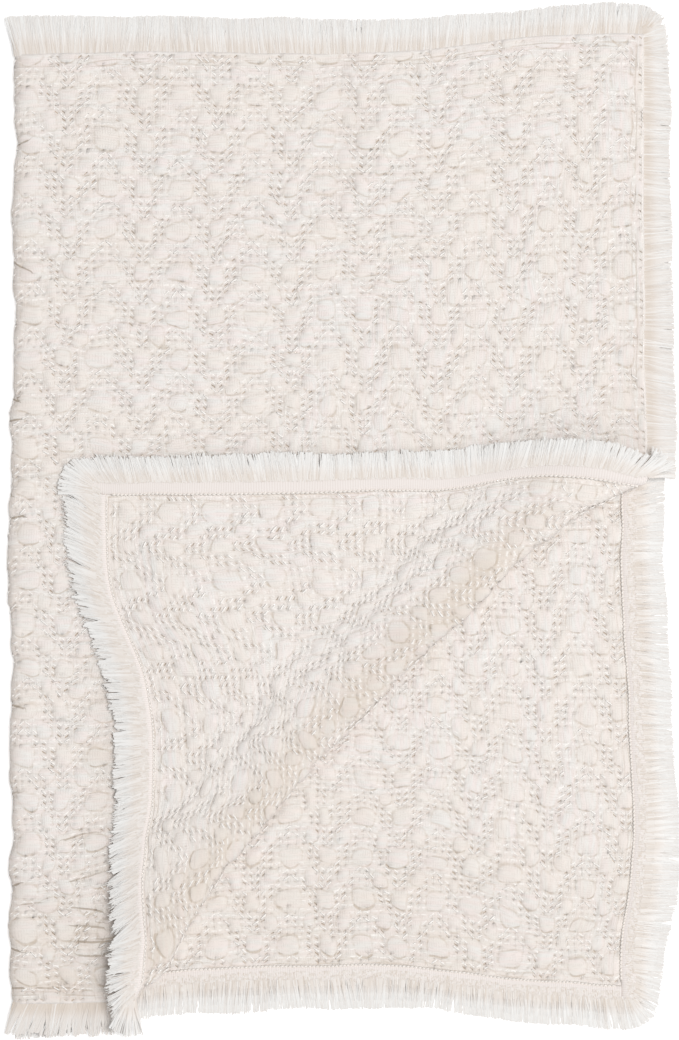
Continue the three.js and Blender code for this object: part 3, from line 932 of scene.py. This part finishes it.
gap_u, gap_v, rim_height, side, openness, gap_column = np.concatenate(cloth_mesh.gap_places, axis=1)
chosen = (openness > FLOAT_LEAST_GAP) & (edge_distance(gap_u, gap_v) > FLOAT_LEAST_EDGE)
count = chosen.sum()
middle_u = gap_u[chosen] + uneven.normal(0, FLOAT_STRAY, count)
middle_v = gap_v[chosen] + CELL / 2 + uneven.normal(0, FLOAT_STRAY, count)
slant = slant_of(gap_column[chosen]) + uneven.normal(0, FLOAT_SLANT_STRAY, count)
half_length = FLOAT_LENGTH / 2 * uneven.uniform(0.75, 1.15, count)
half_width = FLOAT_HALF_WIDTH * uneven.uniform(0.8, 1.2, count)
base_height = rim_height[chosen] - FLOAT_SUNK
ends = [(-1, 0, 0)]
for ahead in (-0.5, 0.5):
    ends += [(ahead, -1, 0.1), (ahead, 0, 1), (ahead, 1, 0.1), (ahead, 0, -0.6)]
ends.append((1, 0, 0))
corners = []
for ahead, aside, up in ends:
    corner_u = middle_u + ahead * half_length - aside * half_width * slant * 0.5
    corner_v = middle_v + ahead * half_length * slant + aside * half_width
    corners.append((corner_u, corner_v, side[chosen] * (base_height + FLOAT_RISE * up)))
float_u, float_v, float_height = np.stack(corners, axis=2).reshape(3, -1)
one_float = [[0, 2, 1], [0, 3, 2], [0, 4, 3], [0, 1, 4], [9, 5, 6], [9, 6, 7], [9, 7, 8], [9, 8, 5]]
one_float += [[1, 2, 6, 5], [2, 3, 7, 6], [3, 4, 8, 7], [4, 1, 5, 8]]
float_faces = []
for number, float_side in enumerate(side[chosen]):
    for face in one_float:
        turned = face[::-1] if float_side > 0 else face
        float_faces.append([number * len(ends) + corner for corner in turned])
floats = mesh_object("weave_floats", cloth_point(float_u, float_v, float_height), float_faces)
add_bake_map(floats, *sheet_map(float_u, float_v, np.repeat(side[chosen], len(ends))))
add_attribute(floats, "float", np.ones(len(float_u)))
add_attribute(floats, "weave", np.stack(
    [float_u / CELL + COLUMN_START, -float_v / CELL, edge_distance(float_u, float_v)], axis=-1))
floats.data.materials.append(cotton)
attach(floats, "root")


# FRINGE
# A narrow ribbed cotton tape with its weft left as loose cut threads, sewn to the inner side of the
# cloth along all four edges with a row of small stitches. It runs in eight lengths between folds and
# corners.
TAPE_INSIDE = 4.0
TAPE_OUTSIDE = 5.5
TAPE_THICKNESS = 1.0
TAPE_GAP = 0.3
RIB_PITCH = 1.5
RIB_HEIGHT = 0.14
TIP_CLEAR = 1.0
BUTT_LENGTH = TAPE_INSIDE + TAPE_OUTSIDE + TAPE_GAP
UNBUTTED = 20
THREAD_REACH = 22.4
THREAD_UNEVEN = 1.6
THREAD_WAVE = 38.0
THREAD_STEPS = 5
SWEEP = 0.16
SWEEP_WAVE = 34
# Two layers of threads: broad ones that lie as a bed, and fine ones on top of them
LAYERS = {
    "bed": {
        "seed": 100, "per_mm": 1.5, "half_width": 1.5, "rise": 0.1, "loft": (0.0, 0.1), "reach": 0.975,
        "strand": (0.4, 0.9), "clumping": 0.85,
    },
    "top": {
        "seed": 200, "per_mm": 3.4, "half_width": 0.42, "rise": 0.1, "loft": (0.06, 0.2), "reach": 1.0,
        "strand": (0.1, 1.0), "clumping": 1.0,
    },
}
FAN = 0.8
FAN_REACH = 24.0
STITCH_PITCH = 2.7
STITCH_LENGTH = 5.2
STITCH_SLANT = 0.35
STITCH_END_ROOM = 4
ON_FLOOR = 0.0
ON_UNDER = 5.8
ON_OVER = None

EDGES = {
    "under right": lambda along, out: (-out, along),
    "over right": lambda along, out: (CLOTH_WIDTH + out, along),
    "bottom": lambda along, out: (along, -out),
    "top": lambda along, out: (along, CLOTH_LENGTH + out),
}
LOW, HIGH = -TAPE_OUTSIDE, CLOTH_LENGTH + TAPE_OUTSIDE
NEAR = TAPE_INSIDE + TAPE_GAP
FAR = CLOTH_WIDTH - NEAR

# What a run says of itself beyond its edge, its span and the height its tips rest at: how its threads
# fan at its two ends and go round corners, lean at shares of its length, clump, and differ in length;
# where on the tape they start, how pale they are painted, darker below 1 as painted shade and paler
# above 1 as painted light, which side is up, over which shares they droop and how far; how much longer
# than usual they are at shares of the length and at corners; and how far they go past the tape's ends
PLAIN_RUN = {
    "fans": (0.3, 0.3), "caps": (0, 0), "leans": ((0, 0), (1, 0)),
    "clumping": 0.2, "clump": 4.2, "ragged": 0.3, "roots": (-1.5, 5.2), "pale": 1.0, "outer_up": False,
    "droop": (0.05, 0.7), "most_drop": 20,
    "longer": ((0, 0), (1, 0)), "cap_longer": 0, "past_ends": (0, 0),
}
OUTER_RUN = {"rest": ON_UNDER, "outer_up": True, "roots": (-0.9, -0.7), "droop": (0.1, 1.2)}
# The turned corner's fringe is painted paler, as painted light where it slopes down from the light
FLAP_RUN = {"rest": ON_OVER, "droop": (0.05, 1.2), "most_drop": 2.6, "pale": 1.6}
round_fold = half_turn_run * 0.45
RUNS = {
    "under_right": {
        "edge": "under right", "span": (LOW, HIGH), "rest": ON_FLOOR, "fans": (0.8, 1), "caps": (1, 1),
        "longer": ((0, -2), (0.05, 4), (0.08, 7), (0.12, 7), (0.2, 5), (0.3, 2.5), (0.6, 2.5), (1, 0)),
        "cap_longer": -1,
    },
    "under_top": {"edge": "top", "span": (NEAR, HALF_FOLD_START), "rest": ON_FLOOR},
    "under_bottom": {
        "edge": "bottom", "span": (NEAR, HALF_FOLD_START), "rest": ON_FLOOR, "fans": (0.3, 0.4),
        "longer": (
            (0, 3), (0.1, 4), (0.2, 2), (0.32, -0.5), (0.36, 3.5), (0.48, 3), (0.55, 1), (0.67, 4),
            (0.8, 3), (0.93, 2), (1, 2),
        ),
    },
    "over_top": OUTER_RUN | {
        "edge": "top", "span": (over_start, FAR), "fans": (0.1, 0.3), "past_ends": (round_fold, 4),
        "longer": (
            (0, 3.5), (0.35, 2.5), (0.5, 0.8), (0.6, 0.4), (0.68, -1.2), (0.8, -3.2), (0.9, -2.6),
            (0.95, -0.8), (1, -3),
        ),
    },
    "over_right": OUTER_RUN | {
        "edge": "over right", "span": (right_tip + TIP_CLEAR, HIGH), "fans": (0.7, 0.9), "caps": (0, 1),
        # Painted shade at the threads' roots, under the over layer's hem
        "pale": 0.4, "longer": ((0, -2), (0.3, -2.8), (0.5, -2), (0.8, -4), (0.92, -6), (1, -8.5)),
        "cap_longer": -1.5,
    },
    "over_bottom": OUTER_RUN | {
        "edge": "bottom", "span": (over_start, bottom_tip - TIP_CLEAR), "fans": (0.5, 0.1),
        # Painted shade on the strip end's fringe, which hangs off the layer
        "clumping": 0.85, "clump": 8.0, "ragged": 0.7, "pale": 0.2, "past_ends": (round_fold, 0),
        "longer": ((0, -1), (0.3, 0), (0.6, -0.5), (1, 0.5)),
        "leans": ((0, 0.1), (0.2, -0.25), (0.6, -0.15), (1, 0)),
    },
    "flap_left": FLAP_RUN | {
        "edge": "bottom", "span": (bottom_tip + TIP_CLEAR, FAR), "fans": (1, 0.1), "caps": (1, 0),
        "clumping": 0.8, "clump": 7.0, "ragged": 1.0, "past_ends": (0, 5),
        "leans": ((0, -0.1), (0.12, -0.4), (0.5, -0.15), (0.75, 0.1), (0.9, 0.5), (1, 0.55)),
        "longer": ((0, -2), (0.15, 0), (0.7, 0), (0.88, 3), (1, 5.5)), "cap_longer": 5,
    },
    "flap_top": FLAP_RUN | {
        "edge": "over right", "span": (LOW, right_tip - TIP_CLEAR), "fans": (1, 0.5), "caps": (1, 0),
        "clumping": 0.5, "ragged": 0.7, "past_ends": (0, 3), "roots": (3.4, 5.2),
        "leans": ((0, 0), (0.1, -0.3), (0.4, -0.1), (1, 0.1)),
    },
}


def over_layer_top(places):
    """Height of the over layer's face under places, for the threads that come to rest on it."""
    u = places[:, 0] - FRAME_SHIFT[0] - over_start_x + over_start
    v = places[:, 1] - FRAME_SHIFT[1] - BOTTOM_EDGE_Y
    face = CLOTH_THICKNESS / 2 + HALF_FOLD["settled"] + FACE_HEIGHT
    return face + rumple(u, v) + PUFF_HEIGHT * puff_share(u, v)


class TrimMesh:
    """Vertices and faces of one run of fringe, with each vertex's strand, reach and kind."""

    def __init__(self):
        self.points = []
        self.yarn = []
        self.map_across = []
        self.map_along = []
        self.faces = []
        self.flat_faces = []
        self.count = 0

    def add(self, points, yarn, map_across, map_along, faces):
        self.points.append(points)
        self.yarn.append(yarn)
        self.map_across.append(np.broadcast_to(map_across, len(points)))
        self.map_along.append(np.broadcast_to(map_along, len(points)))
        self.faces += [[self.count + corner for corner in face] for face in faces]
        self.count += len(points)


def tube_faces(rings, around):
    """Faces of a closed tube of rings of corners, numbered ring by ring."""
    faces = [list(range(around))[::-1], [(rings - 1) * around + k for k in range(around)]]
    for ring in range(rings - 1):
        for k in range(around):
            after = (k + 1) % around
            first = ring * around
            faces.append([first + k, first + after, first + around + after, first + around + k])
    return faces


def facing_out(points, faces):
    """The faces of one closed shape, turned over if they face inwards."""
    middle = points.mean(axis=0)
    volume = 0
    for face in faces:
        a, b, c = points[face[0]] - middle, points[face[1:-1]] - middle, points[face[2:]] - middle
        volume += (np.cross(b, c) @ a).sum()
    return faces if volume > 0 else [face[::-1] for face in faces]


def repeated_faces(one, count, corners):
    """The faces of one small shape, for a number of copies of it."""
    firsts = range(0, count * corners, corners)
    return [[first + corner for corner in face] for first in firsts for face in one]


def add_tape(trim, edge_place, start, end, caps):
    """The ribbed tape, on the inner side of the cloth and out past its edge."""
    near = -CLOTH_THICKNESS / 2 - TAPE_GAP
    far = near - TAPE_THICKNESS
    section = [
        (-TAPE_INSIDE - 0.6, -FACE_HEIGHT + 0.3, 0), (0.2, near, 0), (3, near, 1),
        (TAPE_OUTSIDE, near - 0.15, 1), (TAPE_OUTSIDE + 0.3, (near + far) / 2, 0),
        (TAPE_OUTSIDE, far + 0.15, -1), (2.5, far, -1), (0, far, -1), (-1.8, far + 0.1, -1),
        (-3.0, far + 0.5, 0), (-TAPE_INSIDE - 0.2, far + 1.2, 0),
    ]
    count = 2 * round((end - start) / RIB_PITCH)
    along = np.linspace(start, end, count + 1)
    ridge = np.arange(count + 1) % 2
    out = np.array([point[0] for point in section])
    height = np.array([point[1] for point in section])
    rib = np.array([point[2] for point in section])
    u, v = np.broadcast_arrays(*edge_place(along[:, None], out[None, :]))
    points = cloth_point(u, v, height[None, :] + RIB_HEIGHT * rib[None, :] * ridge[:, None])
    from_start = along - start + UNBUTTED * (1 - caps[0])
    from_end = end - along + UNBUTTED * (1 - caps[1])
    butted = np.minimum(from_start, from_end) < BUTT_LENGTH
    sewn_out = np.where(butted[:, None], np.maximum(out[None, :], -2), out[None, :])
    yarn = np.stack(np.broadcast_arrays(ridge[:, None] * 1.0, sewn_out, 1.0), axis=-1)
    map_across = np.repeat(np.linspace(0, 1, count + 1), len(section))
    map_along = np.tile(np.linspace(0, 0.3, len(section)), count + 1)
    points = points.reshape(-1, 3)
    faces = facing_out(points, tube_faces(count + 1, len(section)))
    trim.add(points, yarn.reshape(-1, 3), map_across, map_along, faces)


def thread_directions(edge_place, along, angle):
    """Level directions in which threads leave the edge, turned by an angle towards the run's end."""
    here = middle_surface(*edge_place(along, np.zeros_like(along)))[:, :2]
    out = middle_surface(*edge_place(along, np.full_like(along, PROBE)))[:, :2] - here
    out /= np.linalg.norm(out, axis=1, keepdims=True)
    onward = middle_surface(*edge_place(along + PROBE, np.zeros_like(along)))[:, :2] - here
    side = np.stack([-out[:, 1], out[:, 0]], axis=1)
    sense = np.where((side * onward).sum(1) < 0, -1, 1)[:, None]
    side = side * sense
    turn = angle[:, None]
    return out * np.cos(turn) + side * np.sin(turn), side * np.cos(turn) - out * np.sin(turn)


def thread_roots(run, per_mm, rng):
    """Where threads leave a run's tape, along and out from the cloth's edge, and their angles."""
    start, end = run["span"]
    start, end = start - run["past_ends"][0], end + run["past_ends"][1]
    count = round((end - start) * per_mm)
    along = start + 0.2 + (end - start - 0.4) * (np.arange(count) + rng.uniform(0, 1, count)) / count
    fan_in = run["fans"][0] * np.maximum(0, 1 - (along - start) / FAN_REACH)
    fan_out = run["fans"][1] * np.maximum(0, 1 - (end - along) / FAN_REACH)
    lean = np.interp((along - start) / (end - start), *zip(*run["leans"]))
    angle = FAN * (fan_out - fan_in) + lean
    out = rng.uniform(*run["roots"], count)
    for cap, place, turn in zip(run["caps"], (start + 0.4, end - 0.4), (-1, 1)):
        added = round(cap * (TAPE_INSIDE + TAPE_OUTSIDE) * per_mm)
        part = (np.arange(added) + 0.5) / max(added, 1)
        along = np.append(along, np.full(added, place))
        out = np.append(out, TAPE_OUTSIDE - 0.6 - part * (TAPE_INSIDE + TAPE_OUTSIDE - 1.2))
        angle = np.append(angle, turn * (FAN + (math.pi / 2 - FAN) * part))
    return along, out, angle, np.arange(len(along)) >= count


def thread_lengths(run, layer, along, out, angle, in_cap, clump, clumps, rng):
    """How long threads are, from their roots in the tape to their cut ends."""
    length = THREAD_REACH * layer["reach"] - out * np.cos(angle)
    share = (along - run["span"][0]) / (run["span"][1] - run["span"][0])
    length = length + THREAD_UNEVEN * soft_noise(along, 0 * along, THREAD_WAVE, 51)
    length = length + np.interp(share, *zip(*run["longer"]))
    length = length + rng.normal(0, run["ragged"], clumps)[clump] + rng.normal(0, 0.35, len(along))
    return length + in_cap * run["cap_longer"]


def add_threads(trim, run, layer, seed):
    """One layer of loose threads, in uneven clumps, which droop to what lies under them."""
    rng = np.random.default_rng(seed)
    edge_place = EDGES[run["edge"]]
    along, out, angle, in_cap = thread_roots(run, layer["per_mm"], rng)
    count = len(along)
    clump = np.floor((along - along.min()) / run["clump"] + 0.3 * rng.normal(0, 1, count)).astype(int)
    clump = np.maximum(clump, 0)
    clumps = clump.max() + 4
    clump_middle = along.min() + (clump + 0.5) * run["clump"]
    pull = layer["clumping"] * np.clip(rng.normal(run["clumping"], 0.15, clumps), 0, 0.85)[clump]
    sweep = SWEEP * soft_noise(along, 0 * along, SWEEP_WAVE, 50)
    angle = angle + sweep + rng.normal(0, 0.04, clumps)[clump] + rng.normal(0, 0.05, count)
    direction, side = thread_directions(edge_place, along, angle)
    length = thread_lengths(run, layer, along, out, angle, in_cap, clump, clumps, rng)
    depth = rng.uniform(-1.6, -1.2, count) if run["outer_up"] else rng.uniform(1.1, 1.35, count)
    root = cloth_point(*edge_place(along, out), -CLOTH_THICKNESS / 2 - TAPE_GAP * 0.5 - depth)
    half_width = layer["half_width"] * rng.uniform(0.75, 1.25, count)
    loft = rng.uniform(*layer["loft"], count)
    tips = root[:, :2] + direction * length[:, None]
    rest = over_layer_top(tips) if run["rest"] is ON_OVER else run["rest"]
    floor = np.maximum(rest + 0.05, root[:, 2] - run["most_drop"]) + loft
    root[:, 2] += loft
    droop_start = run["droop"][0] + rng.uniform(-0.06, 0.06, count)
    wave = rng.normal(0, 0.45, count)
    phase = rng.uniform(0, 2 * math.pi, count)
    rings = []
    for part in np.linspace(0, 1, THREAD_STEPS):
        sway = wave * part * np.sin(phase + 4.5 * part) + pull * part * (clump_middle - along)
        centre = root[:, :2] + direction * (length * part)[:, None] + side * sway[:, None]
        height = root[:, 2] + (floor - root[:, 2]) * ease_in(part, droop_start, run["droop"][1])
        wide = half_width * (1 - 0.55 * part)
        for aside, up in ((-1, 0), (1, 0), (0, 1)):
            ring = centre + side * (aside * wide)[:, None]
            rings.append(np.column_stack([ring, height + up * layer["rise"]]))
    points = np.stack(rings, axis=1).reshape(-1, 3)
    parts = np.repeat(np.linspace(0, 1, THREAD_STEPS), 3)
    shade = rng.uniform(*layer["strand"], count) ** (1 / run["pale"])
    yarn = np.stack(np.broadcast_arrays(shade[:, None], parts[None, :], 0.0), axis=-1)
    corner_aside = np.tile([0.1, 0.9, 0.5], THREAD_STEPS)
    map_across = ((np.arange(count)[:, None] + corner_aside[None, :]) / count).ravel()
    one = facing_out(points[:THREAD_STEPS * 3], tube_faces(THREAD_STEPS, 3))
    faces = repeated_faces(one, count, THREAD_STEPS * 3)
    trim.flat_faces.append((len(trim.faces), len(trim.faces) + len(faces)))
    trim.add(points, yarn.reshape(-1, 3), map_across, np.tile(0.35 + 0.55 * parts, count), faces)


def add_stitches(trim, run, inset, height, radius):
    """A row of small sewn stitches, each a stretched bead, at a distance inside the cloth's edge."""
    start, end = run["span"]
    first = start + STITCH_END_ROOM + run["caps"][0] * BUTT_LENGTH
    last = end - STITCH_END_ROOM - run["caps"][1] * BUTT_LENGTH
    count = int((last - first) / STITCH_PITCH)
    middle = first + (np.arange(count) + 0.5) * STITCH_PITCH
    lift = np.sign(height) * radius
    beads = [
        (-STITCH_LENGTH / 2, -STITCH_SLANT, -lift), (0, -radius, -lift / 2), (0, 0, lift),
        (0, radius, -lift / 2), (0, 0, -lift), (STITCH_LENGTH / 2, STITCH_SLANT, -lift),
    ]
    rows = []
    for ahead, aside, up in beads:
        u, v = EDGES[run["edge"]](middle + ahead, np.full(count, aside - inset))
        rows.append(cloth_point(u, v, np.full(count, height + up)))
    points = np.stack(rows, axis=1).reshape(-1, 3)
    one = [[0, 1, 2], [0, 2, 3], [0, 3, 4], [0, 4, 1], [5, 2, 1], [5, 3, 2], [5, 4, 3], [5, 1, 4]]
    one = facing_out(points[:len(beads)], one)
    map_across = (np.arange(count)[:, None] + np.array([0.0, 0.4, 0.5, 0.6, 0.5, 0.9])[None, :]) / count
    map_along = np.tile([0.96, 0.93, 0.96, 0.99, 0.96, 0.96], count)
    yarn = np.tile([0.5, 0.0, 2.0], (len(points), 1))
    trim.add(points, yarn, map_across.ravel(), map_along, repeated_faces(one, count, len(beads)))


fringe, at, fringe_shader = new_material("fringe_cotton")
strand, reach, kind = at.parts(at.attribute("yarn", "Vector"))
THREAD_PALE = (0.79, 0.755, 0.725, 1)
THREAD_SHADE = (0.70, 0.645, 0.60, 1)
THREAD_TIP = (0.76, 0.757, 0.745, 1)
THREAD_WHITE = (0.85, 0.845, 0.83, 1)
THREAD_ROOT_SHADE = (0.64, 0.56, 0.485, 1)
TAPE_RIB = (0.80, 0.745, 0.715, 1)
TAPE_VALLEY_SHADE = (0.72, 0.66, 0.625, 1)
TAPE_LINE = (0.67, 0.60, 0.54, 1)
STITCH_CREAM = (0.83, 0.78, 0.735, 1)
# The threads: strands at random between THREAD_SHADE and THREAD_PALE, shifted by each run's painted
# paleness; whiter strands, more of them on a run painted paler; and painted shade at the roots
threads = at.mix(strand, THREAD_SHADE, THREAD_PALE)
threads = at.mix(reach.step(0.3, 0.7) * at.math("MINIMUM", 0.2 + strand * 0.7, 0.8), threads, THREAD_TIP)
threads = at.mix(strand.step(0.6, 1.1) * reach.step(0.1, 0.5) * 0.6, threads, THREAD_WHITE)
# Painted shade at the threads' roots, most on darker strands
threads = at.mix((1 - reach.step(0.15, 0.5)) * (1 - strand) * 0.8, threads, THREAD_ROOT_SHADE)
# Painted shade in the valleys between the tape's ribs
tape = at.mix(strand, TAPE_VALLEY_SHADE, TAPE_RIB)
sewn = (1 - reach.step(-4.2, -3.2)) * 0.25
tape = at.mix(sewn, tape, TAPE_LINE)
colour = at.mix(kind.step(0.2, 0.8), threads, tape)
colour = at.mix(kind.step(1.2, 1.8), colour, STITCH_CREAM)
link(colour, fringe_shader, "Base Color")
set_matt(fringe_shader, 0.9, 0.2)

TAPE_STITCH_INSET = 4.3
TAPE_STITCH_RADIUS = 1.1
TAPE_STITCH_SUNK = 0.65
HEM_STITCH_INSET = 1.3
HEM_STITCH_RADIUS = 0.85
HEM_STITCH_RAISED = 0.45
tape_face = -CLOTH_THICKNESS / 2 - TAPE_GAP - TAPE_THICKNESS
for run_number, (name, given) in enumerate(RUNS.items()):
    run = PLAIN_RUN | given
    trim = TrimMesh()
    add_tape(trim, EDGES[run["edge"]], *run["span"], run["caps"])
    for layer in LAYERS.values():
        add_threads(trim, run, layer, layer["seed"] + run_number)
    add_stitches(trim, run, TAPE_STITCH_INSET, tape_face + TAPE_STITCH_SUNK, TAPE_STITCH_RADIUS)
    if run["edge"] == "over right" and run["outer_up"]:
        add_stitches(trim, run, HEM_STITCH_INSET, RIM_HEIGHT + HEM_STITCH_RAISED, HEM_STITCH_RADIUS)
    piece = mesh_object(f"trim_{name}", np.concatenate(trim.points), trim.faces)
    smooth = np.ones(len(trim.faces), bool)
    for first, last in trim.flat_faces:
        smooth[first:last] = False
    piece.data.polygons.foreach_set("use_smooth", smooth)
    add_bake_map(piece, np.concatenate(trim.map_across), np.concatenate(trim.map_along))
    add_attribute(piece, "yarn", np.concatenate(trim.yarn))
    piece.data.materials.append(fringe)
    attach(piece, "root")
    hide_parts(f"fringe_{name}")


# FLOOR, LIGHT AND CAMERA
# A plain pale studio floor under a wide soft light, and a long-lensed camera that looks straight down.
bpy.ops.mesh.primitive_plane_add(size=30, location=(0, 0, 0))
floor = bpy.context.active_object
floor.name = "studio_floor"
floor_material, at, floor_shader = new_material("floor_paper")
floor_shader.inputs["Base Color"].default_value = (0.98, 0.98, 0.98, 1)
floor_shader.inputs["Roughness"].default_value = 0.95
floor_shader.inputs["Emission Color"].default_value = (1, 1, 1, 1)
floor_shader.inputs["Emission Strength"].default_value = 0.3
floor.data.materials.append(floor_material)

world = bpy.data.worlds.new("studio")
world.use_nodes = True
world.node_tree.nodes["Background"].inputs["Color"].default_value = (1, 1, 1, 1)
world.node_tree.nodes["Background"].inputs["Strength"].default_value = 0.41
bpy.context.scene.world = world


def soft_light(name, place, size, power):
    """A square light that faces the blanket's middle."""
    bpy.ops.object.light_add(type="AREA", location=place)
    light = bpy.context.active_object
    light.name = name
    light.data.size = size
    light.data.energy = power
    light.rotation_euler = (-light.location).to_track_quat("-Z", "Y").to_euler()
    return light


soft_light("key", (1.2, 0.3, 4.5), 2.0, 163)
soft_light("fill", (1.5, -1.9, 1.3), 1.6, 9)

PICTURE = (679, 1040)
MM_PER_PIXEL = 0.68
CAMERA_HEIGHT = 3.6
FOCUS_HEIGHT = 0.008
SENSOR_WIDTH = 36
bpy.ops.object.camera_add(
    location=(FRAME_SHIFT[0] * MM, FRAME_SHIFT[1] * MM, CAMERA_HEIGHT), rotation=(0, 0, 0))
camera = bpy.context.active_object
camera.data.sensor_width = SENSOR_WIDTH
camera.data.lens = SENSOR_WIDTH * (CAMERA_HEIGHT - FOCUS_HEIGHT) / (PICTURE[1] * MM_PER_PIXEL * MM)
camera.data.clip_end = 20
bpy.context.scene.camera = camera
bpy.context.scene.view_settings.view_transform = "Standard"
